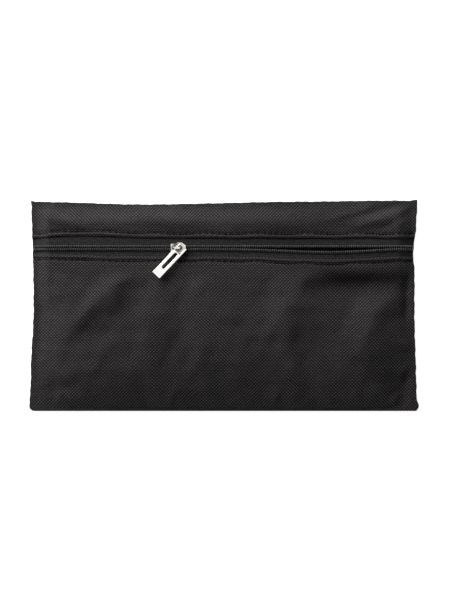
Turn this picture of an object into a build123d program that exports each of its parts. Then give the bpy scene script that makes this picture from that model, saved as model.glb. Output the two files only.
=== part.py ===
from build123d import *
from math import cos, pi, radians, sin
import os

# A flat zip pouch for pencils, lying on its back: +X along the zip, +Y towards the zip edge, +Z out
# of the front. The origin is on the resting face, under the middle of the outline. Millimetres.
# The mouth is ajar to the right of the slider, and every cloth part follows the same mouth profile.

# Cloth body
HALF_LENGTH = 119.0  # to the sewn side edge at the corners
WAIST = 1.8  # how far the side edges are drawn in at mid height
BOTTOM_Y = -64.6
TOP_Y = 64.2
TOP_DIP = 1.6  # sag of the top edge between its corners
CLOTH = 0.7
SEAM_Z = 3.0  # height of the sewn edges above the resting face
BACK_EDGE_R = 2.2
RIM = 3.0  # flat sewn margin inside the outline
SIDE_RISE = 9.0  # length over which the front rises from the side seams
STRIP_LEVEL = 0.55  # share of the upper strip's width where it comes level with the zip
DOME = 6.5  # how far the filled front stands above the line from seam to zip

# Zip
ZIP_Y = 35.6
ZIP_Z = 6.2  # middle of the tapes where the zip is closed
TAPE = 0.5
TAPE_REACH = 12.5  # from the zip's centre line to a tape's outer edge
TAPE_INSET = 0.4  # from the centre line to a tape's inner edge
COIL_OUT = 1.9  # half the width of the closed chain
COIL_HEIGHT = 1.3
COIL_WALL = 0.35
CORE_GAP = 0.1
CLOTH_EDGE = 5.7  # from the centre line to the folded cloth edges
SEW_GAP = 0.05  # between sewn layers
LAYER_GAP = 0.2  # between a tape and the cloth over it
STITCH = 0.5
STITCH_IN = 2.3  # from the folded cloth edge to the topstitching

# Slider
SLIDER_X = -28.1
SLIDER_LENGTH = 9.2
SLIDER_NARROW = 2.65  # half widths
SLIDER_WIDE = 3.4
SLIDER_NOSE = 1.6
BLADE = 0.9
RUNNING_GAP = 0.15
FLANGE = 0.5
POST = 0.5
BRIDGE_SET = -0.7  # of its middle from the slider's middle
BRIDGE_LENGTH = 5.9
BRIDGE_WIDTH = 1.3
BRIDGE_BAR = 0.75
BRIDGE_ROOM = 2.1

# Pull
PULL_LENGTH = 24.7
PULL_WIDTH = 6.0
PULL_THICK = 0.8
PULL_ANGLE = 46.8  # of its length from the zip line, seen from the front
PULL_TILT = 6.0  # tail up, to lie along the filled front
PULL_RIM = 1.0
HEAD_RIM = 0.8
EYE_LENGTH = 4.4
EYE_WEB = 0.9
SLOT_END = 18.6  # from the head end to the far end of the slot
SLOT_WIDTH = 2.15
RIM_AT_BRIDGE = 3.8  # from the head end to where the rim passes under the bridge
RIM_ROUND = 0.2
PULL_LIFT = 1.1  # of the rim's middle above the top blade
PULL_SET = -1.2  # of the rim under the bridge from the slider's middle

# Mouth
UPPER_DROP = 3.0  # how far the upper lip is pressed down at the widest place
LOWER_RAISE = 1.8
LOWER_DRAW = 1.85  # how far the lower lip is drawn back there
MOUTH_SKEW = 1.6  # moves the widest place to the right of the middle
NOSE_GAP = 0.6
LIP_REACH = 6.0  # how sharply the panels settle away from their lips

# Sewing inside
BINDING_WIDTH = 6.5
BINDING_THICK = 1.3
SEAM_THREAD = 0.5
COIL_THREAD = 0.25

SIDE_X = HALF_LENGTH - RIM
FLAT_X = SIDE_X - SIDE_RISE
TAPE_END = SIDE_X - 1.2
MOUTH_START = SLIDER_X + SLIDER_LENGTH / 2 + NOSE_GAP
MOUTH_END = FLAT_X + SIDE_RISE / 2
TAPE_TOP = ZIP_Z + TAPE / 2
CLOTH_AT_ZIP = TAPE_TOP + LAYER_GAP
COIL_BASE = TAPE_TOP + SEW_GAP
COIL_TOP = COIL_BASE + COIL_HEIGHT
FRONT_FOOT = BOTTOM_Y + RIM / 2
STRIP_FOOT = TOP_Y - RIM / 2 - TOP_DIP / 2

os.makedirs("parts", exist_ok=True)


def save(made, name):
    made.part.label = name
    export_step(made.part, f"parts/{name}.step")


# ---- Shared profiles along the zip ----


def ease(u):
    u = min(max(u, 0.0), 1.0)
    return u * u * (3 - 2 * u)


def puff(x):
    """0 at the side seams, 1 where the front has its full height."""
    return ease((SIDE_X - abs(x)) / SIDE_RISE)


def gape(x):
    """0 where the zip is closed, 1 where the mouth is widest."""
    u = min(max((x - MOUTH_START) / (MOUTH_END - MOUTH_START), 0.0), 1.0)
    return sin(pi * u**MOUTH_SKEW) ** 2


def zip_drop(x):
    """How far the zip line lies below its level place."""
    return (1 - puff(x)) * (CLOTH_AT_ZIP - SEAM_Z)


def lip_z(x, side):
    """Height of a lip over its closed place: side is 1 for the upper lip, -1 for the lower."""
    move = -UPPER_DROP if side > 0 else LOWER_RAISE
    return move * gape(x) - zip_drop(x)


def cloth_z(x, side, v):
    """Height of the underside of a front cloth, v of the way from its foot to its lip."""
    if side > 0:
        level = ease(v / STRIP_LEVEL)
        return SEAM_Z + level * (puff(x) * (CLOTH_AT_ZIP - SEAM_Z) - UPPER_DROP * gape(x))
    rise = puff(x) * ((CLOTH_AT_ZIP - SEAM_Z) * v + DOME * sin(pi * v))
    return SEAM_Z + rise + LOWER_RAISE * gape(x) * v**LIP_REACH


def lip_y(x, side):
    return 0.0 if side > 0 else -LOWER_DRAW * gape(x)


def stations(end):
    """Places along X where the sections of the cloth and zip are taken."""
    slope = [FLAT_X + SIDE_RISE * k / 4 for k in range(5)]
    slope = [x for x in slope if x < end - 0.5] + [end]
    mouth = [MOUTH_START + (FLAT_X - MOUTH_START) * k / 14 for k in range(14)]
    return [-x for x in reversed(slope)] + mouth + slope


def zip_bar(side, near, far, low, high, end=TAPE_END, height_at=lip_z):
    """A strip along one lip, from near to far of the zip's centre line and from low to high."""
    with BuildPart() as bar:
        for x in stations(end):
            middle = ZIP_Y + lip_y(x, side) + side * (near + far) / 2
            height = (low + high) / 2 + height_at(x, side)
            with BuildSketch(Plane.YZ.offset(x)):
                with Locations((middle, height)):
                    Rectangle(far - near, high - low)
        loft(ruled=True)
    return bar


def outline():
    """The sewn outline: drawn-in sides, a straight bottom and a sagging top edge."""
    left, right = -HALF_LENGTH, HALF_LENGTH
    middle = (BOTTOM_Y + TOP_Y) / 2
    with BuildSketch() as plan:
        with BuildLine():
            Line((left, BOTTOM_Y), (right, BOTTOM_Y))
            ThreePointArc((right, BOTTOM_Y), (right - WAIST, middle), (right, TOP_Y))
            ThreePointArc((right, TOP_Y), (0, TOP_Y - TOP_DIP), (left, TOP_Y))
            ThreePointArc((left, TOP_Y), (left + WAIST, middle), (left, BOTTOM_Y))
        make_face()
    return plan.sketch


# ---- Back panel: a shallow tray of cloth with a flat resting face ----


def make_back_panel():
    plan = outline()
    with BuildSketch(Plane.XY.offset(CLOTH)) as inner:
        add(plan)
        offset(amount=-CLOTH, kind=Kind.INTERSECTION)
    with BuildPart() as hollow:
        extrude(inner.sketch, amount=SEAM_Z)
        fillet(hollow.faces().sort_by(Axis.Z)[0].edges(), BACK_EDGE_R - CLOTH)
    with BuildPart() as back:
        extrude(plan, amount=SEAM_Z)
        fillet(back.faces().sort_by(Axis.Z)[0].edges(), BACK_EDGE_R)
        add(hollow.part, mode=Mode.SUBTRACT)
    return back


# ---- Front cloth: each panel runs from its flat sewn margin to its lip ----


def cloth_section(x, margin, foot, lip, heights):
    """One cross-section of a panel: heights are those of its underside from foot to lip."""
    steps = len(heights) - 1
    under = [(foot + (lip - foot) * k / steps, z) for k, z in enumerate(heights)]
    over = [(y, z + CLOTH) for y, z in under]
    with BuildSketch(Plane.YZ.offset(x)) as section:
        with BuildLine():
            Polyline((margin, SEAM_Z + CLOTH), (margin, SEAM_Z), under[0])
            Spline(*under)
            Line(under[-1], over[-1])
            Spline(*reversed(over))
            Line(over[0], (margin, SEAM_Z + CLOTH))
        make_face()
    return section.sketch


def front_section(x):
    lip = ZIP_Y - CLOTH_EDGE + lip_y(x, -1)
    heights = [cloth_z(x, -1, k / 8) for k in range(9)]
    return cloth_section(x, BOTTOM_Y - 1, FRONT_FOOT, lip, heights)


def strip_section(x):
    heights = [cloth_z(x, 1, k / 10) for k in range(11)]
    return cloth_section(x, TOP_Y + 1, STRIP_FOOT, ZIP_Y + CLOTH_EDGE, heights)


def make_cloth(section):
    sections = [section(x) for x in stations(HALF_LENGTH + 1)]
    plan = outline()
    with BuildPart() as cloth:
        loft(sections, ruled=True)
        extrude(plan, amount=HALF_LENGTH, mode=Mode.INTERSECT)
    return cloth


# ---- Zip: on each lip a tape, a coil with its core cord, and two rows of sewing ----


def make_zip_side(side, name):
    low = ZIP_Z - TAPE / 2
    save(zip_bar(side, TAPE_INSET, TAPE_REACH, low, TAPE_TOP), f"{name}_zip_tape")
    coil = zip_bar(side, TAPE_INSET, COIL_OUT, COIL_BASE, COIL_TOP)
    bore_in, bore_out = TAPE_INSET + COIL_WALL, COIL_OUT - COIL_WALL
    bore_low, bore_high = COIL_BASE + COIL_WALL, COIL_TOP - COIL_WALL
    bore = zip_bar(side, bore_in, bore_out, bore_low, bore_high, end=TAPE_END + 1)
    with BuildPart() as hollow:
        add(coil.part)
        add(bore.part, mode=Mode.SUBTRACT)
    save(hollow, f"{name}_coil")
    core = zip_bar(side, bore_in + CORE_GAP, bore_out - CORE_GAP, bore_low + CORE_GAP, bore_high - CORE_GAP)
    save(core, f"{name}_coil_core_cord")
    row = (TAPE_INSET + COIL_OUT) / 2
    thread = zip_bar(side, row - STITCH / 2, row + STITCH / 2, low - COIL_THREAD, low)
    save(thread, f"{name}_coil_sewing_thread")
    save(make_topstitch(side), f"{name}_topstitch")


def make_topstitch(side):
    """The line of sewing on the cloth, beside its folded edge."""
    row = CLOTH_EDGE + STITCH_IN
    foot = STRIP_FOOT if side > 0 else FRONT_FOOT
    share = 1 - STITCH_IN / abs(ZIP_Y + side * CLOTH_EDGE - foot)

    def on_cloth(x, side):
        return cloth_z(x, side, share) + CLOTH + SEW_GAP

    return zip_bar(side, row - STITCH / 2, row + STITCH / 2, SEW_GAP, STITCH, height_at=on_cloth)


# ---- Slider: two blades joined by a post, side flanges and a bridge for the pull ----


def slider_plan():
    """Plan of a blade: narrow at the closed end, shouldered, with a blunt nose."""
    back, nose = -SLIDER_LENGTH / 2, SLIDER_LENGTH / 2
    shoulder, cheek = (-1.6, SLIDER_NARROW), (2.2, SLIDER_WIDE)
    half = [(back, SLIDER_NARROW), shoulder, (0.2, SLIDER_WIDE), cheek, (nose, SLIDER_NOSE)]
    with BuildSketch() as plan:
        with BuildLine():
            Polyline(*half, *[(x, -y) for x, y in reversed(half)], close=True)
        make_face()
    return plan.sketch


def arch(half, height, corner):
    """A round-shouldered gate shape standing on the blade."""
    with BuildSketch() as gate:
        with BuildLine():
            legs = [(-half, -BLADE / 2), (-half, height), (half, height), (half, -BLADE / 2)]
            FilletPolyline(*legs, radius=corner)
            Line(legs[-1], legs[0])
        make_face()
    return gate.sketch


def make_slider():
    under = ZIP_Z - TAPE / 2 - COIL_THREAD - RUNNING_GAP
    over = COIL_TOP + RUNNING_GAP
    tape_clear = TAPE_TOP + RUNNING_GAP
    plan = slider_plan()
    outer = arch(BRIDGE_LENGTH / 2, BRIDGE_ROOM + BRIDGE_BAR, 1.2)
    inner = arch(BRIDGE_LENGTH / 2 - BRIDGE_BAR, BRIDGE_ROOM, 0.7)
    foot = (SLIDER_X + BRIDGE_SET, ZIP_Y, over + BLADE)
    bridge_plane = Plane(foot, x_dir=(1, 0, 0), z_dir=(0, -1, 0))
    with BuildPart() as slider:
        for base in (under - BLADE, over):
            with BuildSketch(Plane((SLIDER_X, ZIP_Y, base))):
                add(plan)
            extrude(amount=BLADE)
        with BuildSketch(Plane((SLIDER_X, ZIP_Y, tape_clear))):
            add(plan)
            Rectangle(2 * SLIDER_LENGTH, 2 * (SLIDER_NARROW - FLANGE), mode=Mode.SUBTRACT)
        extrude(amount=over - tape_clear)
        with BuildSketch(Plane((SLIDER_X, ZIP_Y, under))):
            with Locations((SLIDER_LENGTH / 2 - 1.6, 0)):
                SlotOverall(2.2, POST)
        extrude(amount=over - under)
        with BuildSketch(bridge_plane):
            add(outer)
            add(inner, mode=Mode.SUBTRACT)
        extrude(amount=BRIDGE_WIDTH / 2, both=True)
    return slider


# ---- Pull: a flat plate whose rim is caught under the bridge ----


def pull_plane():
    """Local +X runs from tail to head along the rim, with the origin on the rim under the bridge."""
    turn, tilt = radians(PULL_ANGLE), radians(PULL_TILT)
    along = (cos(turn) * cos(tilt), sin(turn) * cos(tilt), -sin(tilt))
    up = (cos(turn) * sin(tilt), sin(turn) * sin(tilt), cos(tilt))
    blade_top = COIL_TOP + RUNNING_GAP + BLADE
    return Plane((SLIDER_X + PULL_SET, ZIP_Y, blade_top + PULL_LIFT), x_dir=along, z_dir=up)


def make_pull():
    head = RIM_AT_BRIDGE
    across = PULL_RIM / 2 - PULL_WIDTH / 2
    eye_end = head - HEAD_RIM - EYE_LENGTH
    slot_start = eye_end - EYE_WEB
    slot_end = head - SLOT_END
    plane = pull_plane()
    with BuildPart() as pull:
        with BuildSketch(plane):
            with Locations((head - PULL_LENGTH / 2, across)):
                RectangleRounded(PULL_LENGTH, PULL_WIDTH, 0.5)
            with Locations((eye_end + EYE_LENGTH / 2, across)):
                RectangleRounded(EYE_LENGTH, PULL_WIDTH - 2 * PULL_RIM, 0.3, mode=Mode.SUBTRACT)
            with Locations(((slot_start + slot_end) / 2, across)):
                SlotOverall(slot_start - slot_end, SLOT_WIDTH, mode=Mode.SUBTRACT)
        extrude(amount=PULL_THICK / 2, both=True)
        flats = pull.faces().filter_by(Axis(plane.origin, plane.z_dir))
        fillet(flats.edges(), RIM_ROUND)
    return pull


# ---- Sewing inside: seam threads, and a binding around each side allowance ----


def make_block(x0, x1, y0, y1, z0, z1):
    with BuildPart() as block:
        with BuildSketch(Plane.XY.offset(z0)):
            with Locations(((x0 + x1) / 2, (y0 + y1) / 2)):
                Rectangle(x1 - x0, y1 - y0)
        extrude(amount=z1 - z0)
    return block


def make_sewing():
    outer = SIDE_X - 1.1
    low, high = FRONT_FOOT + 3, STRIP_FOOT - 3
    thread_x = TAPE_END + 0.2
    for side, name in ((-1, "left"), (1, "right")):
        near, far = sorted((side * (outer - BINDING_WIDTH), side * outer))
        binding = make_block(near, far, low, high, CLOTH, CLOTH + BINDING_THICK)
        save(binding, f"{name}_seam_binding")
        near, far = sorted((side * thread_x, side * (thread_x + SEAM_THREAD)))
        thread = make_block(near, far, low, high, CLOTH + BINDING_THICK, SEAM_Z)
        save(thread, f"{name}_side_seam_thread")
    for y, name in ((FRONT_FOOT, "bottom"), (STRIP_FOOT - SEAM_THREAD, "top")):
        reach = FLAT_X
        thread = make_block(-reach, reach, y, y + SEAM_THREAD, SEAM_Z - SEAM_THREAD, SEAM_Z)
        save(thread, f"{name}_seam_thread")


save(make_back_panel(), "back_panel")
save(make_cloth(front_section), "front_panel")
save(make_cloth(strip_section), "upper_front_strip")
make_zip_side(1, "upper")
make_zip_side(-1, "lower")
save(make_slider(), "slider_body")
save(make_pull(), "pull_tab")
make_sewing()
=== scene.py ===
import math

import bmesh
import bpy
import numpy as np
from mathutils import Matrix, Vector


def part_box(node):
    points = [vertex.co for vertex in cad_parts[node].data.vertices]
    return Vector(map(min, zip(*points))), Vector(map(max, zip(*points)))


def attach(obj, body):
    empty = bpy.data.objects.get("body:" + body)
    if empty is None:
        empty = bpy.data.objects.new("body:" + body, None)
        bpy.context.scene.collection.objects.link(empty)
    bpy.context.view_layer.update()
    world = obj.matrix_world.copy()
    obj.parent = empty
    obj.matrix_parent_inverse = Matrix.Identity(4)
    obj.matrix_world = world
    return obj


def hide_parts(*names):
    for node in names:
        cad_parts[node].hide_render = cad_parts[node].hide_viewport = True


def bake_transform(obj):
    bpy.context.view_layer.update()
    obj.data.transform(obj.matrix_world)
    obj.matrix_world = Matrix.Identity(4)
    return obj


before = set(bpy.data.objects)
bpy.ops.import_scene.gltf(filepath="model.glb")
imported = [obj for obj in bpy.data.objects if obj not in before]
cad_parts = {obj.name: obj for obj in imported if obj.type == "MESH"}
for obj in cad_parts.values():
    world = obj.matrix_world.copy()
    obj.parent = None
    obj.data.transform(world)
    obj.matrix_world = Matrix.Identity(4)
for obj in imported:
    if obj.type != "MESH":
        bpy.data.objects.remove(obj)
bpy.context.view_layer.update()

# ---- Studio ----
# A pale table seen from straight above, in soft light from the upper left with a weaker fill
# from the lower right, so the black cloth shows its folds.

table_mesh = bpy.data.meshes.new("table_top")
table_mesh.from_pydata(
    [(-3, -3, -0.0002), (3, -3, -0.0002), (3, 3, -0.0002), (-3, 3, -0.0002)], [], [(0, 1, 2, 3)]
)
table_top = bpy.data.objects.new("table_top", table_mesh)
bpy.context.scene.collection.objects.link(table_top)

camera_data = bpy.data.cameras.new("camera")
camera_data.lens = 150
camera_data.sensor_width = 36
camera_data.clip_end = 20
camera = bpy.data.objects.new("camera", camera_data)
camera.location = (0.0006, 0.0037, 1.5415)
bpy.context.scene.collection.objects.link(camera)
bpy.context.scene.camera = camera
bpy.context.scene.view_settings.view_transform = "Standard"


def soft_light(name, place, aim, width, power):
    """A square soft box turned towards aim."""
    data = bpy.data.lights.new(name, "AREA")
    data.size = width
    data.energy = power
    lamp = bpy.data.objects.new(name, data)
    lamp.location = place
    turn = np.array(aim) - np.array(place)
    lamp.rotation_euler = (
        math.acos(-turn[2] / np.linalg.norm(turn)),
        0,
        math.atan2(turn[1], turn[0]) - math.pi / 2,
    )
    bpy.context.scene.collection.objects.link(lamp)


soft_light("key_light", (-0.72, 0.95, 0.5), (0, 0, 0), 1.3, 34)
soft_light("fill_light", (0.8, -0.5, 0.9), (0, 0, 0), 0.9, 0.12)
soft_light("top_light", (0.08, 0.17, 1.45), (0, 0, 0), 0.45, 0.9)
world = bpy.data.worlds.new("studio")
world.use_nodes = True
world.node_tree.nodes["Background"].inputs["Color"].default_value = (0.97, 0.98, 1, 1)
world.node_tree.nodes["Background"].inputs["Strength"].default_value = 0.05
bpy.context.scene.world = world


class Wire:
    """A socket of a node tree, so that shader maths reads as plain expressions."""

    def __init__(self, tree, socket=None):
        self.tree = tree
        self.socket = socket

    def node(self, kind, settings=None, sockets=None, out=0):
        made = self.tree.nodes.new(kind)
        for key, value in (settings or {}).items():
            if key == "stops":
                for at, (place, shade) in enumerate(value):
                    stops = made.color_ramp.elements
                    stop = stops[at] if at < 2 else stops.new(place)
                    stop.position = place
                    stop.color = (*shade, 1)
            else:
                setattr(made, key, value)
        for key, value in (sockets or {}).items():
            if isinstance(value, Wire):
                self.tree.links.new(value.socket, made.inputs[key])
            else:
                made.inputs[key].default_value = value
        return Wire(self.tree, made.outputs[out] if made.outputs else None)

    def maths(self, operation, *others):
        values = dict(enumerate((self, *others)))
        return self.node("ShaderNodeMath", {"operation": operation}, values)

    def __add__(self, other):
        return self.maths("ADD", other)

    def __sub__(self, other):
        return self.maths("SUBTRACT", other)

    def __rsub__(self, other):
        return self.node("ShaderNodeMath", {"operation": "SUBTRACT"}, {0: other, 1: self})

    def __mul__(self, other):
        return self.maths("MULTIPLY", other)

    def __pow__(self, other):
        return self.maths("POWER", other)

    __radd__ = __add__
    __rmul__ = __mul__


def new_material(name):
    """An empty material, and the wire that its nodes are made with."""
    made = bpy.data.materials.new(name)
    made.use_nodes = True
    made.node_tree.nodes.clear()
    return made, Wire(made.node_tree)


def close_material(wire, sockets):
    """Ends a material in one Principled shader."""
    surface = wire.node("ShaderNodeBsdfPrincipled", {}, sockets)
    wire.node("ShaderNodeOutputMaterial", {}, {"Surface": surface})


table_paint, wire = new_material("table_paint")
spot = wire.node("ShaderNodeTexCoord", out=3)
cloud = wire.node("ShaderNodeTexNoise", {}, {"Vector": spot, "Scale": 3.0, "Detail": 2.0})
close_material(
    wire,
    {
        "Base Color": (0.86, 0.86, 0.86, 1),
        "Roughness": 0.7 + 0.1 * cloud,
        "Specular IOR Level": 0.1,
        "Emission Color": (1, 1, 1, 1),
        "Emission Strength": 0.92,
    },
)
table_mesh.materials.append(table_paint)

# ---- Back panel ----
# One rectangle of black basket-weave polyester that the case lies on. It is sewn to the front all
# round and turned right side out, so its edges roll up from the table to the seam.

MM = 0.001
back_low, back_high = (1000 * np.array(corner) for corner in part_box("back_panel"))
HALF_LENGTH = back_high[0]
BOTTOM_Y, TOP_Y = back_low[1], back_high[1]
SEAM_Z = back_high[2]
MID_Y, HALF_Y = (BOTTOM_Y + TOP_Y) / 2, (TOP_Y - BOTTOM_Y) / 2
WAIST = 1.8  # how far the sides are drawn in at mid height
CORNER = 2.6  # radius of the turned bottom corners
WALL = 2.2  # radius of the rolled edge at the table
BACK_CLOTH = 0.5


def bump_at(x, place, width):
    return np.exp(-(((x - place) / width) ** 2))


def ease(u):
    u = np.clip(u, 0, 1)
    return u * u * (3 - 2 * u)


def side_x(y, side):
    """Distance from the middle of the case to its sewn side edge; side is -1 left, 1 right."""
    drawn = WAIST * (1 - ((y - MID_Y) / HALF_Y) ** 2)
    left = 0.45 * bump_at(y, -46, 24) + 0.75 * bump_at(y, -32, 17)
    left += 0.7 * bump_at(y, -58, 6) - 0.3 * bump_at(y, 60, 5)
    left += 0.12 * np.sin(y / 2.1) + 0.1 * np.sin(y / 0.83 + 1)
    right = 0.12 * np.sin(y / 1.9 + 2) + 0.1 * np.sin(y / 0.9)
    right += 0.3 * bump_at(y, -34, 18) + 0.9 * bump_at(y, -61.5, 2.6) - 1.2 * bump_at(y, 33, 9)
    near = np.clip(y - BOTTOM_Y, 0, CORNER)
    turned = CORNER - np.sqrt(CORNER**2 - (CORNER - near) ** 2)
    return HALF_LENGTH - drawn + np.where(side < 0, left - turned, right - 0.5 * turned)


def top_y(x):
    """The top edge: it sags left of the middle, and ends in small turned ears."""
    ears = 0.6 * bump_at(np.abs(x), HALF_LENGTH, 2.5) + 0.08 * np.sin(x / 2.3) + 0.08 * np.sin(x / 0.87)
    sag = 1.75 * bump_at(x, -50, 42) + 0.5 * bump_at(x, 0, 30)
    return TOP_Y + 0.15 + 0.55 * ease((x - 50) / 50) - sag + ears


def ripples(x, y, seed, wave, count=9):
    """Soft irregular waves, about -1 to 1, with the wave length given in millimetres."""
    rng = np.random.RandomState(seed)
    total = np.zeros(np.broadcast(x, y).shape)
    for turn in rng.uniform(0, 2 * math.pi, count):
        pace = 2 * math.pi / (wave * rng.uniform(0.7, 1.5))
        phase = rng.uniform(0, 2 * math.pi)
        total += np.sin(pace * (x * math.cos(turn) + y * math.sin(turn)) + phase)
    return total / math.sqrt(count)


def finish_mesh(name, points, faces, cut, material):
    """A mesh object from points in millimetres, with the cut cloth's own plane as its UV map."""
    mesh = bpy.data.meshes.new(name)
    mesh.from_pydata([tuple(p) for p in points * MM], [], faces)
    if cut is not None:
        layer = mesh.uv_layers.new(name="cut")
        corners = np.empty(len(mesh.loops), dtype=np.int32)
        mesh.loops.foreach_get("vertex_index", corners)
        layer.data.foreach_set("uv", (cut[corners] / 10).astype(np.float32).ravel())
    edit = bmesh.new()
    edit.from_mesh(mesh)
    bmesh.ops.remove_doubles(edit, verts=edit.verts, dist=2e-6)
    bmesh.ops.recalc_face_normals(edit, faces=edit.faces)
    edit.to_mesh(mesh)
    edit.free()
    mesh.polygons.foreach_set("use_smooth", [True] * len(mesh.polygons))
    mesh.materials.append(material)
    made = bpy.data.objects.new(name, mesh)
    bpy.context.scene.collection.objects.link(made)
    return made


def grid_faces(rows, columns, around=False):
    """Quads over a grid of points; around joins the last row back to the first."""
    last = rows if around else rows - 1
    return [
        (a * columns + b, a * columns + b + 1, (a + 1) % rows * columns + b + 1, (a + 1) % rows * columns + b)
        for a in range(last)
        for b in range(columns - 1)
    ]


def spaced(length, step, fine=(0, 0.12, 0.35, 0.7, 1.15, 1.7, 2.4, 3.2)):
    """Distances along a length, close together at both of its ends."""
    middle = np.arange(fine[-1] + step, length - fine[-1] - step / 2, step)
    return np.concatenate([fine, middle, length - np.array(fine[::-1])])


def rolled(q):
    """Distance in from the edge and height, for a distance q along the cloth from the seam."""
    straight = SEAM_Z - WALL
    angle = np.clip((q - straight) / WALL, 0, math.pi / 2)
    inward = WALL * (1 - np.cos(angle)) + np.maximum(q - straight - WALL * math.pi / 2, 0)
    height = np.where(q < straight, SEAM_Z - q, WALL * (1 - np.sin(angle)))
    return inward, height


def basket_weave(wire, square):
    """Height of a two by two basket weave with slightly wavy threads, which squares are warp, slanting bands
    for a painted highlight, and the cut's flat coordinates.
    """
    flat = wire.node("ShaderNodeUVMap", {"uv_map": "cut"})
    drift = wire.node("ShaderNodeTexNoise", {}, {"Vector": flat, "Scale": 2.2, "Detail": 3.0}, out=1)
    moved = wire.node(
        "ShaderNodeVectorMath",
        {"operation": "MULTIPLY_ADD"},
        {0: drift, 1: (0.05, 0.05, 0), 2: flat},
    )
    across = wire.node("ShaderNodeSeparateXYZ", {}, {0: moved}, out=0) * (10 / square)
    along = wire.node("ShaderNodeSeparateXYZ", {}, {0: moved}, out=1) * (10 / square)
    u, v = across.maths("FRACT"), along.maths("FRACT")
    parity = (across.maths("FLOOR") + along.maths("FLOOR")).maths("FLOORED_MODULO", 2.0)
    pair, length = (u * (2 * math.pi)).maths("SINE"), (v * math.pi).maths("SINE")
    warp = pair.maths("ABSOLUTE") ** 0.7 * (0.3 + 0.7 * length)
    pair, length = (v * (2 * math.pi)).maths("SINE"), (u * math.pi).maths("SINE")
    weft = pair.maths("ABSOLUTE") ** 0.7 * (0.3 + 0.7 * length)
    # Slanting bands along one diagonal or the other, as slow noise chooses; the cloth's colour uses them only
    # as painted highlight.
    pull = wire.node("ShaderNodeTexNoise", {}, {"Vector": flat, "Scale": 0.28, "Detail": 1.0})
    lean = wire.node("ShaderNodeMapRange", {}, {"Value": pull, "From Min": 0.44, "From Max": 0.56})
    rising = ((across + along) * math.pi).maths("COSINE")
    falling = ((across - along) * math.pi).maths("COSINE")
    diagonal_bands = 1 + 0.62 * (rising * lean - falling * (1 - lean))
    return warp * parity + weft * (1 - parity), parity, diagonal_bands, flat


def cloth_material(name, dark, light, tint):
    """Black polyester with glossy yarn crowns and uneven dye. Its colour is painted lighter on the yarn
    crowns, on the warp squares and along slanting bands (painted highlight), and darker in the gaps between
    the yarns (painted shade).
    """
    made, wire = new_material(name)
    height, parity, diagonal_bands, flat = basket_weave(wire, 1.004)
    dye = wire.node("ShaderNodeTexNoise", {}, {"Vector": flat, "Scale": 0.35, "Detail": 4.0})
    slub = wire.node("ShaderNodeTexNoise", {}, {"Vector": flat, "Scale": 8.5, "Detail": 3.0})
    # Painted light: lighter on the crowns, the warp squares and the slanting bands, darker in the gaps
    # between yarns; slub and dye vary the colour at random.
    level = height ** 1.3 * (0.35 + 0.6 * parity) * diagonal_bands * (2.3 * slub - 0.2) * (0.6 + 0.8 * dye)
    shade = wire.node(
        "ShaderNodeValToRGB",
        {"stops": [(0.0, dark), (1.0, light)]},
        {0: level},
    )
    relief = wire.node(
        "ShaderNodeBump",
        {},
        {"Strength": 0.8, "Distance": 0.00025, "Height": height + 0.3 * slub},
    )
    close_material(
        wire,
        {
            "Base Color": shade,
            "Roughness": 0.62 - 0.14 * height + 0.1 * slub,
            "Specular IOR Level": 0.12,
            "Sheen Weight": 0.03,
            "Sheen Roughness": 0.45,
            "Sheen Tint": tint,
            "Normal": relief,
        },
    )
    return made


black_cloth = cloth_material("black_cloth", (0.002, 0.0018, 0.0019), (0.115, 0.106, 0.108), (1, 0.98, 1, 1))
back_cloth = cloth_material("back_cloth", (0.002, 0.0018, 0.0019), (0.105, 0.097, 0.099), (1, 0.98, 1, 1))

along = spaced(2 * HALF_LENGTH, 1.6, (0, 0.4, 0.8, 1.5, 2.2, 2.9, 3.6, 4.3, 5.0))
up = spaced(2 * HALF_Y, 1.6, (0, 0.4, 0.8, 1.5, 2.2, 2.9, 3.6, 4.3, 5.0))
q_x = np.minimum(along, 2 * HALF_LENGTH - along)[:, None]
q_y = np.minimum(up, 2 * HALF_Y - up)[None, :]
in_x, rise_x = rolled(q_x)
in_y, rise_y = rolled(q_y)
from_top = (up > HALF_Y)[None, :]
y = np.where(from_top, TOP_Y - in_y, BOTTOM_Y + in_y) + 0 * q_x
side = np.where(along > HALF_LENGTH, 1, -1)[:, None]
x = side * (side_x(y, side) - in_x)
y = y + np.where(from_top, (top_y(x) - TOP_Y) * np.clip((y - 20) / 40, 0, 1), 0)
still = np.clip(np.minimum(q_x, q_y) / 12, 0, 1)
lift = 0.28 * still * (1 + ripples(x, y, 3, 46)) + 0.12 * still * (1 + ripples(x, y, 4, 17))
z = np.maximum(rise_x, rise_y) + np.maximum(lift, 0)
outer = np.stack([x, y, z], -1)
in_from_y = np.where(from_top, -1, 1) * BACK_CLOTH * (in_y < 3)
shrink = np.stack([x - side * BACK_CLOTH * (in_x < 3), y + in_from_y, z], -1)
inner = np.where((np.maximum(rise_x, rise_y) > 0.4)[..., None], shrink, outer + np.array([0, 0, BACK_CLOTH]))
inner[..., 2] = np.minimum(np.maximum(inner[..., 2], z + 0 * x), SEAM_Z)
rows, columns = len(along), len(up)
count = rows * columns
shell = grid_faces(rows, columns)
inside = [tuple(count + k for k in reversed(face)) for face in shell]
ring = [(a, 0) for a in range(rows)] + [(rows - 1, b) for b in range(1, columns)]
ring += [(a, columns - 1) for a in range(rows - 2, -1, -1)] + [(0, b) for b in range(columns - 2, 0, -1)]
ring = [a * columns + b for a, b in ring]
rim = [(p, q, count + q, count + p) for p, q in zip(ring, ring[1:] + ring[:1])]
cut = np.tile(np.stack(np.broadcast_arrays(along[:, None], up[None, :]), -1).reshape(-1, 2), (2, 1))
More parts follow.
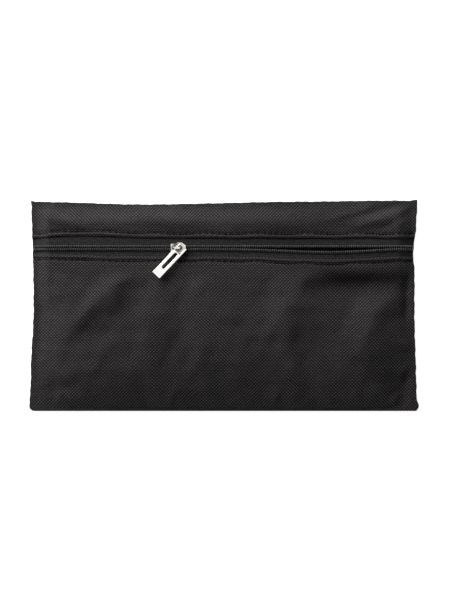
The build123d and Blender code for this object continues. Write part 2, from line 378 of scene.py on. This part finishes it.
back_piece = finish_mesh(
    "back_cloth_panel",
    np.concatenate([outer.reshape(-1, 3), inner.reshape(-1, 3)]),
    shell + inside + rim,
    cut,
    back_cloth,
)
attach(back_piece, "case")
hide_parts("back_panel")

# ---- Front panel ----
# The large lower front of the same cloth, sewn along the bottom and both sides. Its upper edge is
# turned under and lies over the lower zip tape, and slack cloth makes slanting folds across it.

slider_low, slider_high = (1000 * np.array(corner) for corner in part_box("slider_body"))
ZIP_Y = (slider_low[1] + slider_high[1]) / 2
CLOTH = 0.7
CLOTH_EDGE = 5.7  # from the zip's centre line to a folded edge
STITCH_IN = 2.3  # from a folded edge to its line of stitching
STITCH_START = -115.0
STITCH_PITCH = 3.94
FOLD_DEPTH = 1.6  # how much deeper the folds lie than the heights given for them
CLOTH_AT_ZIP = 6.65
SIDE_X, SIDE_RISE = 116.0, 9.0
FRONT_FOOT, STRIP_FOOT = -63.1, 61.9
STRIP_LEVEL, DOME, LIP_REACH = 0.55, 6.5, 6.0
MOUTH_START, MOUTH_END, MOUTH_SKEW = -22.9, 111.5, 1.6
UPPER_DROP, LOWER_RAISE, LOWER_DRAW = 3.0, 1.8, 1.85


def puff(x):
    return ease((SIDE_X - np.abs(x)) / SIDE_RISE)


def gape(x):
    """0 where the zip is closed, 1 where the mouth is widest."""
    u = np.clip((x - MOUTH_START) / (MOUTH_END - MOUTH_START), 0, 1)
    return np.sin(math.pi * u**MOUTH_SKEW) ** 2


def lip_y(x, side):
    return 0 * x if side > 0 else -LOWER_DRAW * gape(x)


def lip_z(x, side):
    """Height of a lip over its place where the zip is closed and level."""
    moved = -UPPER_DROP if side > 0 else LOWER_RAISE
    return moved * gape(x) - (1 - puff(x)) * (CLOTH_AT_ZIP - SEAM_Z)


def crease(x, y, start, end, width, height):
    """A soft fold along a line, dying away at both of its ends."""
    (x0, y0), (x1, y1) = start, end
    length = math.hypot(x1 - x0, y1 - y0)
    ux, uy = (x1 - x0) / length, (y1 - y0) / length
    t = ((x - x0) * ux + (y - y0) * uy) / length
    d = (y - y0) * ux - (x - x0) * uy
    taper = ease(t / 0.35 + 0.2) * ease((1 - t) / 0.35 + 0.2)
    return height * taper * np.exp(-((d / width) ** 2))


def panel_folds(x, y):
    """Folds of the slack front panel, in millimetres above its smooth shape."""
    fold = crease(x, y, (-53, 27), (-98, -18), 6.5, 1.25)
    fold += crease(x, y, (-41, 17), (-86, -28), 7.5, -0.75)
    fold += crease(x, y, (-22, 19), (8, -13), 7.0, 0.8)
    fold += crease(x, y, (-34, 12), (-2, -24), 8.0, -0.5)
    fold += crease(x, y, (60, 30), (26, -22), 11.0, 1.0)
    fold += crease(x, y, (86, 14), (46, -38), 13.0, -1.0)
    fold += crease(x, y, (118, 16), (86, -8), 6.0, 0.55)
    fold += crease(x, y, (118, 2), (96, -16), 4.5, -0.4)
    fold += crease(x, y, (112, -14), (96, -44), 9.0, 0.4)
    fold += crease(x, y, (119, -32), (104, -46), 3.0, 0.3)
    fold += crease(x, y, (118, -42), (100, -58), 3.2, -0.3)
    fold += crease(x, y, (-108, -36), (-84, -52), 4.0, 0.45)
    fold += crease(x, y, (-100, -50), (-78, -44), 4.5, -0.5)
    fold += crease(x, y, (-80, -50), (-50, -36), 7.0, 0.4)
    fold += crease(x, y, (10, -40), (60, -54), 9.0, -0.4)
    fold += crease(x, y, (-114, 26), (-84, 17), 4.0, -0.5)
    fold += crease(x, y, (-115, 12), (-96, 4), 3.5, 0.3)
    fold -= 3.0 * np.exp(-(((x - 86) / 34) ** 2) - ((y - 12) / 10) ** 2)
    for k in range(13):
        foot = -104 + 17 * k + 5 * math.sin(2.3 * k)
        reach = 7 + 4 * math.sin(1.7 * k + 1)
        fold += crease(x, y, (foot, -62), (foot + 5 * math.cos(3.1 * k), -62 + reach), 2.2, 0.35)
    for k in range(6):
        level = -50 + 13 * k + 3 * math.sin(1.9 * k)
        fold += crease(x, y, (-116, level), (-106, level + 3 * math.cos(k)), 2.0, 0.22)
        fold += crease(x, y, (116, level + 4), (106, level + 7), 2.0, -0.22)
    fold += 0.30 * ripples(x, y, 11, 34) + 0.12 * ripples(x, y, 12, 13, 12)
    return FOLD_DEPTH * fold


def beside_fold(x, y, edge, into):
    """The stitched hem: a groove along the stitches, with the folded edge puffed beside it."""
    far = into * (y - edge)
    hole = np.sin(math.pi * (x - STITCH_START) / STITCH_PITCH) ** 6
    groove = 0.3 + 0.85 * hole + 0.08 * ripples(x, 0 * x, 5, 16)
    return -groove * bump_at(far, STITCH_IN, 0.9) + 0.36 * bump_at(far, 0.85, 0.65)


def front_edge(x):
    return ZIP_Y - CLOTH_EDGE + lip_y(x, -1) + 1.2 * ease((-55 - x) / 55) + 0.12 * ripples(x, 0 * x, 9, 30, 5)


def front_under(x, y):
    """Underside of the front panel."""
    v = np.clip((y - FRONT_FOOT) / (front_edge(x) - FRONT_FOOT), 0, 1)
    belly = ease((SIDE_X + 1 - np.abs(x)) / 36) * DOME * np.sin(math.pi * v**0.7)
    rise = puff(x) * (CLOTH_AT_ZIP - SEAM_Z) * v + belly
    free = ease((24 - y) / 10) * ease((y - BOTTOM_Y) / 5) * ease((SIDE_X + 1 - np.abs(x)) / 6)
    return SEAM_Z + rise + LOWER_RAISE * gape(x) * v**LIP_REACH + free * panel_folds(x, y)


def front_top(x, y):
    return front_under(x, y) + CLOTH + beside_fold(x, y, front_edge(x), -1)


def edge_roll(inside, radius=0.9):
    """0 at a turned edge, 1 past the radius from it, along a quarter circle."""
    return np.sqrt(1 - (1 - np.clip(inside / radius, 0, 1)) ** 2)


def cloth_shell(name, foot_y, edge, under, over, away, material):
    """A cloth panel as a closed shell from the sewn outline to its turned edge at the zip."""
    columns = spaced(2 * HALF_LENGTH, 0.85)
    s = (columns / HALF_LENGTH - 1)[None, :]
    mid = (foot_y(0.0) + edge(np.array(0.0))) / 2
    length = abs(edge(np.array(0.0)) - foot_y(0.0))
    top_rows = spaced(length, 0.85)[:, None] / length
    bend = np.linspace(0, math.pi, 7)[1:-1][:, None]
    layers, cuts = [], []
    for rows, kind in ((top_rows, "over"), (bend, "bend"), (top_rows[::-1], "under")):
        w = rows if kind != "bend" else np.ones_like(bend)
        sign = np.sign(s + 1e-9)
        x = s * side_x(mid + 0 * w, sign)
        for _ in range(3):
            y = foot_y(x) + w * (edge(x) - foot_y(x))
            x = s * side_x(y, sign)
        y = foot_y(x) + w * (edge(x) - foot_y(x))
        sides = side_x(y, sign) - np.abs(x)
        inside = np.minimum(sides, np.abs(y - foot_y(x)))
        middle = (under(x, y) + over(x, y)) / 2
        half = (over(x, y) - under(x, y)) / 2 * edge_roll(inside)
        if kind == "over":
            z = middle + half
        elif kind == "under":
            z = middle - half
        else:
            z = middle + half * np.cos(bend)
            y = y + away * 0.5 * np.sin(bend) * edge_roll(sides)
        layers.append(np.stack([x, y, z + 0 * x], -1))
        cuts.append(np.stack([x + 0 * y, y + 0 * x], -1))
    points = np.concatenate(layers)
    faces = grid_faces(len(points), points.shape[1], around=True)
    return finish_mesh(name, points.reshape(-1, 3), faces, np.concatenate(cuts).reshape(-1, 2), material)


def follow_lip(piece, reach):
    """Bakes the piece's placement into its mesh and works out, for each point, the share of its lip's
    movement that reach gives; that share is not used.
    """
    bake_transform(piece)
    places = np.empty(3 * len(piece.data.vertices), dtype=np.float32)
    piece.data.vertices.foreach_get("co", places)
    places = places.reshape(-1, 3) * 1000
    share = gape(places[:, 0]) * reach(places[:, 0], places[:, 1])


def front_share(x, y):
    return np.clip((y - FRONT_FOOT) / (front_edge(x) - FRONT_FOOT), 0, 1) ** LIP_REACH


front_piece = cloth_shell(
    "front_cloth_panel", lambda x: BOTTOM_Y + 0 * x, front_edge, front_under, front_top, 1, black_cloth
)
follow_lip(front_piece, front_share)
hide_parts("front_panel")

# ---- Upper front strip ----
# A narrow strip of the same cloth between the top seam and the zip, with its lower edge turned
# under over the upper tape. It is pulled at both ends, so creases fan out from the corners.


def strip_folds(x, y):
    fold = crease(x, y, (118, 62), (78, 47), 2.4, 0.75)
    fold += crease(x, y, (118, 58), (92, 45), 2.0, -0.6)
    fold += crease(x, y, (112, 63), (70, 52), 2.2, -0.5)
    fold += crease(x, y, (100, 63), (52, 50), 2.6, 0.45)
    fold += crease(x, y, (-117, 60), (-84, 48), 2.8, 0.6)
    fold += crease(x, y, (-117, 54), (-92, 45), 2.2, -0.5)
    fold += crease(x, y, (-60, 61), (-20, 46), 4.0, 0.4)
    fold += crease(x, y, (-30, 61), (10, 47), 4.0, -0.35)
    for k in range(15):
        foot = -106 + 15.2 * k + 4 * math.sin(2.9 * k)
        slant = 3 * math.cos(2.1 * k)
        fold += crease(x, y, (foot, 63), (foot + slant, 55), 1.9, 0.3 * math.sin(1.3 * k + 1))
    return fold + 0.22 * ripples(x, y, 21, 26) + 0.10 * ripples(x, y, 22, 10, 12)


def strip_edge(x):
    bowed = 0.9 + 1.5 * bump_at(x, -86, 26) - 0.5 * bump_at(x, -119, 12)
    return ZIP_Y + CLOTH_EDGE + bowed + 0.12 * ripples(x, 0 * x, 8, 30, 5)


def strip_under(x, y):
    v = np.clip((STRIP_FOOT - y) / (STRIP_FOOT - ZIP_Y - CLOTH_EDGE), 0, 1)
    rise = puff(x) * (CLOTH_AT_ZIP - SEAM_Z) - UPPER_DROP * gape(x)
    free = ease((y - 44.5) / 5) * ease((top_y(x) - y) / 3) * ease((SIDE_X + 2 - np.abs(x)) / 6)
    lift = 0.5 * puff(x) * np.sin(math.pi * np.clip((63 - y) / 18, 0, 1))
    return SEAM_Z + ease(v / STRIP_LEVEL) * rise + free * (strip_folds(x, y) + lift)


def strip_top(x, y):
    return strip_under(x, y) + CLOTH + beside_fold(x, y, strip_edge(x), 1)


def strip_share(x, y):
    v = np.clip((STRIP_FOOT - y) / (STRIP_FOOT - ZIP_Y - CLOTH_EDGE), 0, 1)
    return ease(v / STRIP_LEVEL)


# The strip's copy of the cloth is lighter than the front's: painted light for the light its slope catches
# from the upper left.
strip_cloth_painted_lighter = cloth_material("strip_cloth_painted_lighter", (0.006, 0.0055, 0.0057), (0.124, 0.114, 0.116), (1, 0.98, 1, 1))
strip_piece = cloth_shell("upper_cloth_strip", top_y, strip_edge, strip_under, strip_top, -1, strip_cloth_painted_lighter)
follow_lip(strip_piece, strip_share)
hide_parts("upper_front_strip")

# ---- Zip tapes ----
# Two woven polyester tapes, each sewn under its folded cloth edge with its coil along the other
# edge. They run into the side seams at both ends.

TAPE_LOW, TAPE_TOP = 5.95, 6.45
TAPE_INSET, TAPE_REACH = 0.4, 12.5
TAPE_LEFT, TAPE_RIGHT = -117.5, 116.4  # where the side seams take the ends
LIP_STEP = 0.8  # between the rows of a band along a lip


def tape_material():
    """Fine diagonal twill, ribbed along the tape."""
    made, wire = new_material("zip_tape_weave")
    flat = wire.node("ShaderNodeUVMap", {"uv_map": "cut"})
    near = wire.node("ShaderNodeSeparateXYZ", {}, {0: flat}, out=0)
    far = wire.node("ShaderNodeSeparateXYZ", {}, {0: flat}, out=1)
    diagonal_bands = 0.5 + 0.5 * ((near + far * 0.8) * (20 * math.pi / 1.45)).maths("SINE")
    ribs = 0.5 + 0.5 * (far * (20 * math.pi / 1.3)).maths("SINE")
    fuzz = wire.node("ShaderNodeTexNoise", {}, {"Vector": flat, "Scale": 8.0, "Detail": 3.0})
    level = (0.15 + 0.5 * diagonal_bands + 0.35 * ribs) * (2.8 * fuzz - 0.6)
    shade = wire.node(
        "ShaderNodeValToRGB",
        {"stops": [(0.0, (0.003, 0.0028, 0.003)), (1.0, (0.055, 0.051, 0.052))]},
        {0: level},
    )
    relief = wire.node("ShaderNodeBump", {}, {"Strength": 0.6, "Distance": 0.00012, "Height": level})
    close_material(
        wire,
        {"Base Color": shade, "Roughness": 0.7 - 0.12 * level, "Specular IOR Level": 0.2, "Normal": relief},
    )
    return made


def band_faces(rows, columns):
    """Faces round a band whose rows are its closed section, with both ends filled."""
    faces = []
    for a in range(rows - 1):
        for b in range(columns):
            after = (b + 1) % columns
            here, there = a * columns, (a + 1) * columns
            faces.append((here + b, here + after, there + after, there + b))
    return faces + [tuple(range(columns)), tuple((rows - 1) * columns + b for b in reversed(range(columns)))]


def lip_strip(name, side, section, material, trim=0.0):
    """A band along one lip from a closed section of (distance from the zip's middle, height)."""
    x = np.arange(TAPE_LEFT + trim, TAPE_RIGHT - trim, LIP_STEP)[:, None]
    out = np.array([p[0] for p in section])[None, :]
    high = np.array([p[1] for p in section])[None, :]
    y = ZIP_Y + lip_y(x, side) + side * out
    z = high + lip_z(x, side)
    points = np.stack(np.broadcast_arrays(x, y, z), -1)
    rows, columns = points.shape[:2]
    faces = band_faces(rows, columns)
    cut = np.stack(np.broadcast_arrays(x, out), -1).reshape(-1, 2)
    return finish_mesh(name, points.reshape(-1, 3), faces, cut, material)


def whole_lip(x, y):
    return 1 + 0 * x


tape_weave = tape_material()
tape_middle, tape_half = (TAPE_LOW + TAPE_TOP) / 2, (TAPE_TOP - TAPE_LOW) / 2
tape_section = [(TAPE_INSET, tape_middle)]
tape_section += [(TAPE_INSET + 0.12, tape_middle + 0.7 * tape_half), (TAPE_INSET + 0.35, TAPE_TOP)]
tape_section += [(d, TAPE_TOP - 0.05 * math.sin(d)) for d in (1.4, 2.2, 3.2, 4.2, 5.2, 7.0, 9.0, 11.0)]
tape_section += [(TAPE_REACH - 0.3, TAPE_TOP), (TAPE_REACH, tape_middle), (TAPE_REACH - 0.3, TAPE_LOW)]
tape_section += [(8.0, TAPE_LOW), (4.0, TAPE_LOW), (TAPE_INSET + 0.3, TAPE_LOW)]
for side, name in ((1, "upper"), (-1, "lower")):
    tape = lip_strip(f"{name}_tape", side, tape_section, tape_weave)
    follow_lip(tape, whole_lip)
    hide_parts(f"{name}_zip_tape")

# ---- Zip coils ----
# Each coil is one nylon filament wound into flat turns around a core cord and sewn to its tape.
# The heads of one coil sit between those of the other where the zip is closed.

COIL_BASE = 6.5
COIL_PITCH = 1.31
WIRE_R = 0.22


def row_tree():
    """Geometry nodes: a part repeated along paths at a pitch, slightly unevenly."""
    tree = bpy.data.node_groups.new("row_along_path", "GeometryNodeTree")
    face = tree.interface
    face.new_socket("Path", in_out="INPUT", socket_type="NodeSocketGeometry")
    face.new_socket("Part", in_out="INPUT", socket_type="NodeSocketObject")
    face.new_socket("Pitch", in_out="INPUT", socket_type="NodeSocketFloat")
    face.new_socket("Unevenness", in_out="INPUT", socket_type="NodeSocketFloat")
    face.new_socket("Seed", in_out="INPUT", socket_type="NodeSocketInt")
    face.new_socket("Material", in_out="INPUT", socket_type="NodeSocketMaterial")
    face.new_socket("Row", in_out="OUTPUT", socket_type="NodeSocketGeometry")
    wire = Wire(tree)
    start = wire.node("NodeGroupInput").socket.node
    given = {socket.name: Wire(tree, socket) for socket in start.outputs if socket.name}
    curve = wire.node("GeometryNodeMeshToCurve", {}, {"Mesh": given["Path"]})
    even = wire.node(
        "GeometryNodeResampleCurve", {"mode": "LENGTH"}, {"Curve": curve, "Length": given["Pitch"]}
    )
    tangent = wire.node("GeometryNodeInputTangent")
    turn = wire.node("FunctionNodeAlignRotationToVector", {"axis": "X"}, {"Vector": tangent})
    high = wire.node("ShaderNodeCombineXYZ", {}, {axis: given["Unevenness"] for axis in range(3)})
    low = wire.node("ShaderNodeVectorMath", {"operation": "SCALE"}, {0: high, "Scale": -1.0})
    tilt = wire.node(
        "FunctionNodeRandomValue",
        {"data_type": "FLOAT_VECTOR"},
        {"Min": low, "Max": high, "Seed": given["Seed"]},
    )
    uneven = wire.node("FunctionNodeEulerToRotation", {}, {0: tilt})
    both = wire.node("FunctionNodeRotateRotation", {"rotation_space": "LOCAL"}, {0: turn, 1: uneven})
    part = wire.node("GeometryNodeObjectInfo", {}, {"Object": given["Part"]}, out=4)
    placed = wire.node(
        "GeometryNodeInstanceOnPoints", {}, {"Points": even, "Instance": part, "Rotation": both}
    )
    real = wire.node("GeometryNodeRealizeInstances", {}, {"Geometry": placed})
    painted = wire.node("GeometryNodeSetMaterial", {}, {"Geometry": real, "Material": given["Material"]})
    wire.node("NodeGroupOutput", {}, {0: painted})
    return tree


along_path = row_tree()


def row_of(name, paths, part, pitch, unevenness, seed, material):
    """A plain mesh of the part repeated along each path of points in millimetres."""
    points, edges = [], []
    for path in paths:
        edges += [(len(points) + k, len(points) + k + 1) for k in range(len(path) - 1)]
        points += [tuple(p) for p in np.array(path) * MM]
    guide = bpy.data.meshes.new(name + "_path")
    guide.from_pydata(points, edges, [])
    holder = bpy.data.objects.new(name + "_path", guide)
    bpy.context.scene.collection.objects.link(holder)
    row = holder.modifiers.new("row", "NODES")
    row.node_group = along_path
    values = {
        "Part": part,
        "Pitch": pitch * MM,
        "Unevenness": unevenness,
        "Seed": seed,
        "Material": material,
    }
    for item in along_path.interface.items_tree:
        if item.name in values:
            row[item.identifier] = values[item.name]
    ready = holder.evaluated_get(bpy.context.evaluated_depsgraph_get())
    mesh = bpy.data.meshes.new_from_object(ready)
    mesh.name = name
    mesh.polygons.foreach_set("use_smooth", [True] * len(mesh.polygons))
    bpy.data.objects.remove(holder)
    made = bpy.data.objects.new(name, mesh)
    bpy.context.scene.collection.objects.link(made)
    return made


def tube_part(name, line, radius, sides, wide=None, closed_ends=False):
    """A short bent rod along a line of points in millimetres, for repeating along a path."""
    line = np.array(line, float)
    ahead = np.gradient(line, axis=0)
    ahead /= np.linalg.norm(ahead, axis=1)[:, None]
    across = np.cross(ahead, (0.9, 0.1, 0.05))
    across /= np.linalg.norm(across, axis=1)[:, None]
    third = np.cross(ahead, across)
    angle = np.linspace(0, 2 * math.pi, sides, endpoint=False)
    size = radius * (np.ones(len(line)) if wide is None else np.array(wide))[:, None, None]
    rings = line[:, None] + size * (
        np.cos(angle)[None, :, None] * across[:, None] + np.sin(angle)[None, :, None] * third[:, None]
    )
    faces = [
        (a * sides + b, a * sides + (b + 1) % sides, (a + 1) * sides + (b + 1) % sides, (a + 1) * sides + b)
        for a in range(len(line) - 1)
        for b in range(sides)
    ]
    if closed_ends:
        faces += [tuple(reversed(range(sides))), tuple((len(line) - 1) * sides + b for b in range(sides))]
    mesh = bpy.data.meshes.new(name)
    mesh.from_pydata([tuple(p) for p in rings.reshape(-1, 3) * MM], [], faces)
    edit = bmesh.new()
    edit.from_mesh(mesh)
    bmesh.ops.recalc_face_normals(edit, faces=edit.faces)
    edit.to_mesh(mesh)
    edit.free()
    made = bpy.data.objects.new(name, mesh)
    bpy.context.scene.collection.objects.link(made)
    return made


def lip_path(side, out, high):
    """Points along one lip, out from the zip's middle and at a height where it is level."""
    x = np.arange(TAPE_LEFT + 0.8 + (COIL_PITCH / 2 if side > 0 else 0), TAPE_RIGHT - 0.8, 0.6)
    return np.stack([x, ZIP_Y + lip_y(x, side) + side * out + 0 * x, high + lip_z(x, side)], -1)


nylon, wire = new_material("coil_nylon_painted_highlight")
spot = wire.node("ShaderNodeTexCoord", out=3)
grain_and_glint = wire.node("ShaderNodeTexNoise", {}, {"Vector": spot, "Scale": 900.0, "Detail": 3.0})
# The black nylon is coloured from near black to light grey in random grains; the grey is a painted highlight
# for the light the turns catch.
shade = wire.node(
    "ShaderNodeValToRGB", {"stops": [(0.25, (0.03, 0.029, 0.03)), (0.8, (0.19, 0.184, 0.187))]}, {0: grain_and_glint}
)
relief = wire.node("ShaderNodeBump", {}, {"Strength": 0.2, "Distance": 0.00004, "Height": grain_and_glint})
close_material(
    wire,
    {"Base Color": shade, "Roughness": 0.24 + 0.16 * grain_and_glint, "Specular IOR Level": 0.5, "Normal": relief},
)

for side, name in ((1, "upper"), (-1, "lower")):
    turn = [(-0.5, 0.95, 0.25), (-0.25, 1.32, 0.27), (-0.05, 1.56, 0.5), (0, 1.52, 0.9), (0, 1.25, 1.05)]
    turn += [(0, 0.42, 1.03), (0, 0.14, 0.66), (0, 0.42, 0.3), (0, 0.7, 0.26), (0.2, 0.85, 0.25)]
    turn += [(0.5, 0.95, 0.25)]
    turn = [(u * COIL_PITCH, side * v, z) for u, v, z in turn]
    fat = [1, 1, 1, 1, 1, 1, 1.15, 1, 1, 1, 1]
    part = tube_part(f"{name}_turn", turn, WIRE_R, 6, wide=fat)
    coil = row_of(f"{name}_coil_turns", [lip_path(side, 0, COIL_BASE)], part, COIL_PITCH, 0.02, 5, nylon)
    bpy.data.objects.remove(part)
    follow_lip(coil, whole_lip)
    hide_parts(f"{name}_coil")

# ---- Core cords ----
# A soft spun cord fills each coil and keeps its turns apart. Only its ends and the gaps between
# the turns let it show.

thread_black, wire = new_material("sewing_thread")
spot = wire.node("ShaderNodeTexCoord", out=3)
twist = wire.node(
    "ShaderNodeTexWave",
    {"wave_type": "BANDS", "bands_direction": "DIAGONAL"},
    {"Vector": spot, "Scale": 900.0, "Distortion": 1.5, "Detail": 1.0},
    out=1,
)
shade = wire.node(
    "ShaderNodeValToRGB",
    {"stops": [(0.0, (0.002, 0.0018, 0.0019)), (1.0, (0.012, 0.011, 0.0115))]},
    {0: twist},
)
relief = wire.node("ShaderNodeBump", {}, {"Strength": 0.5, "Distance": 0.00006, "Height": twist})
close_material(
    wire, {"Base Color": shade, "Roughness": 0.6 - 0.15 * twist, "Specular IOR Level": 0.3, "Normal": relief}
)

for side, name in ((1, "upper"), (-1, "lower")):
    angles = np.linspace(0, 2 * math.pi, 8, endpoint=False)
    section = [(0.86 + 0.36 * math.cos(a), COIL_BASE + 0.64 + 0.13 * math.sin(a)) for a in angles]
    cord = lip_strip(f"{name}_core_cord", side, section, thread_black, trim=0.4)
    follow_lip(cord, whole_lip)
    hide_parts(f"{name}_coil_core_cord")

# ---- Coil sewing ----
# Black thread holds each coil to its tape: short stitches over every turn on top, and a straight
# run of stitches underneath.

over_turn = [(-0.42, 0, -0.10), (-0.22, 0, 0.05), (0.0, 0, 0.10), (0.22, 0, 0.05), (0.42, 0, -0.10)]
over_turn = [(u * COIL_PITCH, v, z) for u, v, z in over_turn]
coil_stitch = tube_part("coil_stitch", over_turn, 0.085, 5, closed_ends=True)
for side, name in ((1, "upper"), (-1, "lower")):
    rows = [lip_path(side, 0.9, COIL_BASE + 1.1), lip_path(side, 0.98, TAPE_LOW - 0.08)]
    sewing = row_of(f"{name}_coil_sewing", rows, coil_stitch, COIL_PITCH, 0.06, 9, thread_black)
    follow_lip(sewing, whole_lip)
    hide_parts(f"{name}_coil_sewing_thread")
bpy.data.objects.remove(coil_stitch)

# ---- Topstitching ----
# One line of lockstitch along each folded edge, through the cloth and the tape under it, each
# stitch sunk into the cloth at its ends.

hump = [(-1.6, -0.3), (-1.3, 0.0), (-0.7, 0.1), (0.0, 0.12), (0.7, 0.1), (1.3, 0.0), (1.6, -0.3)]
lockstitch = tube_part("lockstitch", [(u, 0, z) for u, z in hump], 0.36, 6, closed_ends=True)
for side, name in ((1, "upper"), (-1, "lower")):
    x = np.arange(STITCH_START, -STITCH_START, 0.5)
    edge, surface = (strip_edge, strip_top) if side > 0 else (front_edge, front_top)
    y = edge(x) + side * STITCH_IN + 0.06 * ripples(x, 0 * x, 31 + side, 12, 6)
    seam = np.stack([x, y, surface(x, y) + 0.12], -1)
    sewing = row_of(f"{name}_lockstitch", [seam], lockstitch, STITCH_PITCH, 0.05, 14, thread_black)
    follow_lip(sewing, strip_share if side > 0 else front_share)
    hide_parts(f"{name}_topstitch")
bpy.data.objects.remove(lockstitch)

# ---- Seams ----
# The four closing seams of the case are lockstitched inside it, just within the turned edges.

short_stitch = tube_part(
    "seam_stitch",
    [(-1.1, 0, -0.1), (-0.6, 0, 0.05), (0.6, 0, 0.05), (1.1, 0, -0.1)],
    0.17,
    5,
    closed_ends=True,
)
for node in ("left_side_seam_thread", "right_side_seam_thread", "bottom_seam_thread", "top_seam_thread"):
    low, high = (1000 * np.array(corner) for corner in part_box(node))
    middle = (low + high) / 2
    reach = (high - low) / 2
    t = np.linspace(-1, 1, 90)[:, None]
    long_way = np.where(reach == reach.max(), reach, 0)
    row = row_of(node + "_stitches", [middle + t * long_way], short_stitch, 2.6, 0.04, 3, thread_black)
    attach(row, "case")
    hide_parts(node)
bpy.data.objects.remove(short_stitch)

# ---- Seam bindings ----
# A ribbed tape is folded round the raw edges of each side seam inside the case, and sewn down.



def squared(v, p):
    """A sine or cosine with its round turned towards a square."""
    return np.sign(v) * np.abs(v) ** p


ribbed, wire = new_material("binding_tape")
spot = wire.node("ShaderNodeTexCoord", out=3)
down = wire.node("ShaderNodeSeparateXYZ", {}, {0: spot}, out=1) * (2 * math.pi / 0.0008)
rib = 0.5 + 0.5 * down.maths("SINE")
fuzz = wire.node("ShaderNodeTexNoise", {}, {"Vector": spot, "Scale": 1400.0, "Detail": 2.0})
shade = wire.node(
    "ShaderNodeValToRGB",
    {"stops": [(0.0, (0.003, 0.003, 0.003)), (1.0, (0.03, 0.028, 0.029))]},
    {0: rib * (0.5 + fuzz)},
)
relief = wire.node("ShaderNodeBump", {}, {"Strength": 0.6, "Distance": 0.0001, "Height": rib})
close_material(
    wire, {"Base Color": shade, "Roughness": 0.75 - 0.1 * rib, "Specular IOR Level": 0.2, "Normal": relief}
)
for node in ("left_seam_binding", "right_seam_binding"):
    low, high = (1000 * np.array(corner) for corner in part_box(node))
    y = np.linspace(low[1], high[1], 90)[:, None]
    angle = np.linspace(0, 2 * math.pi, 28, endpoint=False)[None, :]
    cx, cz = (low[0] + high[0]) / 2, (low[2] + high[2]) / 2
    x = cx + (high[0] - low[0]) / 2 * squared(np.cos(angle), 0.45) + 0.15 * ripples(y, 0 * y, 6, 18, 6)
    z = cz + (high[2] - low[2]) / 2 * squared(np.sin(angle), 0.6) * (0.86 + 0.1 * ripples(y, 0 * y, 7, 9, 6))
    points = np.stack(np.broadcast_arrays(x, y, z), -1)
    rows, columns = points.shape[:2]
    faces = band_faces(rows, columns)
    tape = finish_mesh(node + "_tape", points.reshape(-1, 3), faces, None, ribbed)
    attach(tape, "case")
    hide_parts(node)

# ---- Slider and pull ----
# Die-cast zinc with bright nickel plating, smooth with faint polishing marks. Round the slider's bridge
# its colour is darkened as painted shade, for the pull's shadow and the dark case seen in the plating; the
# bridge's top stays bright.

BRIDGE_SHIFT = -0.7  # of the bridge from the slider's middle
SHADE_REACH = 4.4  # from the bridge's middle to where the painted shade has faded out
BRIDGE_UNSHADED_DEPTH = 1.0  # how far down from its top the bridge is left out of the painted shade
EDGE_ROUND = 0.14


def nickel_plate(name, painted_shade):
    """Bright plating; the second argument, when given, holds the middle and reach of painted shade round the
    bridge, and the height of the bridge's top, which stays bright.
    """
    made, wire = new_material(name)
    spot = wire.node("ShaderNodeTexCoord", out=3)
    stretch = wire.node(
        "ShaderNodeMapping",
        {},
        {"Vector": spot, "Rotation": (0, 0, math.radians(-46)), "Scale": (200, 2600, 900)},
    )
    marks = wire.node("ShaderNodeTexNoise", {}, {"Vector": stretch, "Scale": 1.0, "Detail": 4.0})
    cloud = wire.node("ShaderNodeTexNoise", {}, {"Vector": spot, "Scale": 160.0, "Detail": 3.0})
    shade = wire.node(
        "ShaderNodeValToRGB", {"stops": [(0.3, (0.74, 0.72, 0.68)), (0.75, (0.90, 0.89, 0.87))]}, {0: cloud}
    )
    relief = wire.node("ShaderNodeBump", {}, {"Strength": 0.08, "Distance": 0.00003, "Height": marks})
    # Painted shade: near the bridge and below its top, the colour is mixed towards dark brown, standing in
    # for the pull's shadow and the dark case reflected in the plating.
    if painted_shade:
        (cx, cy), reach, top = painted_shade
        level = wire.node("ShaderNodeVectorMath", {"operation": "MULTIPLY"}, {0: spot, 1: (1, 1, 0)})
        gone = wire.node("ShaderNodeVectorMath", {"operation": "DISTANCE"}, {0: level, 1: (cx, cy, 0)}, out=1)
        clear_of_shade = wire.node(
            "ShaderNodeMapRange", {}, {"Value": gone, "From Min": 0.55 * reach, "From Max": reach}
        )
        high = wire.node("ShaderNodeSeparateXYZ", {}, {0: spot}, out=2)
        raised = wire.node(
            "ShaderNodeMapRange", {}, {"Value": high, "From Min": top - BRIDGE_UNSHADED_DEPTH * MM, "From Max": top}
        )
        unshaded = clear_of_shade.maths("MAXIMUM", raised)
        dark = (0.13, 0.115, 0.10, 1)
        shade = wire.node("ShaderNodeMix", {"data_type": "RGBA"}, {0: unshaded, 6: dark, 7: shade}, out=2)
    close_material(
        wire,
        {"Base Color": shade, "Metallic": 1.0, "Roughness": 0.14 + 0.16 * marks * cloud, "Normal": relief},
    )
    return made


bridge_x = (slider_low[0] + slider_high[0]) / 2 + BRIDGE_SHIFT
bridge_place = (bridge_x * MM, ZIP_Y * MM)
finishes = {
    "slider_body": nickel_plate("slider_nickel_painted_shade", (bridge_place, SHADE_REACH * MM, slider_high[2] * MM)),
    "pull_tab": nickel_plate("bright_nickel", None),
}
for node in ("slider_body", "pull_tab"):
    metal = bpy.data.objects[node]
    metal.data.materials.clear()
    metal.data.materials.append(finishes[node])
    weld = metal.modifiers.new("weld", "WELD")
    weld.merge_threshold = 0.000002
    bevel = metal.modifiers.new("bevel", "BEVEL")
    bevel.width = EDGE_ROUND * MM
    bevel.segments = 3
    bevel.limit_method = "ANGLE"
    bevel.angle_limit = math.radians(30)
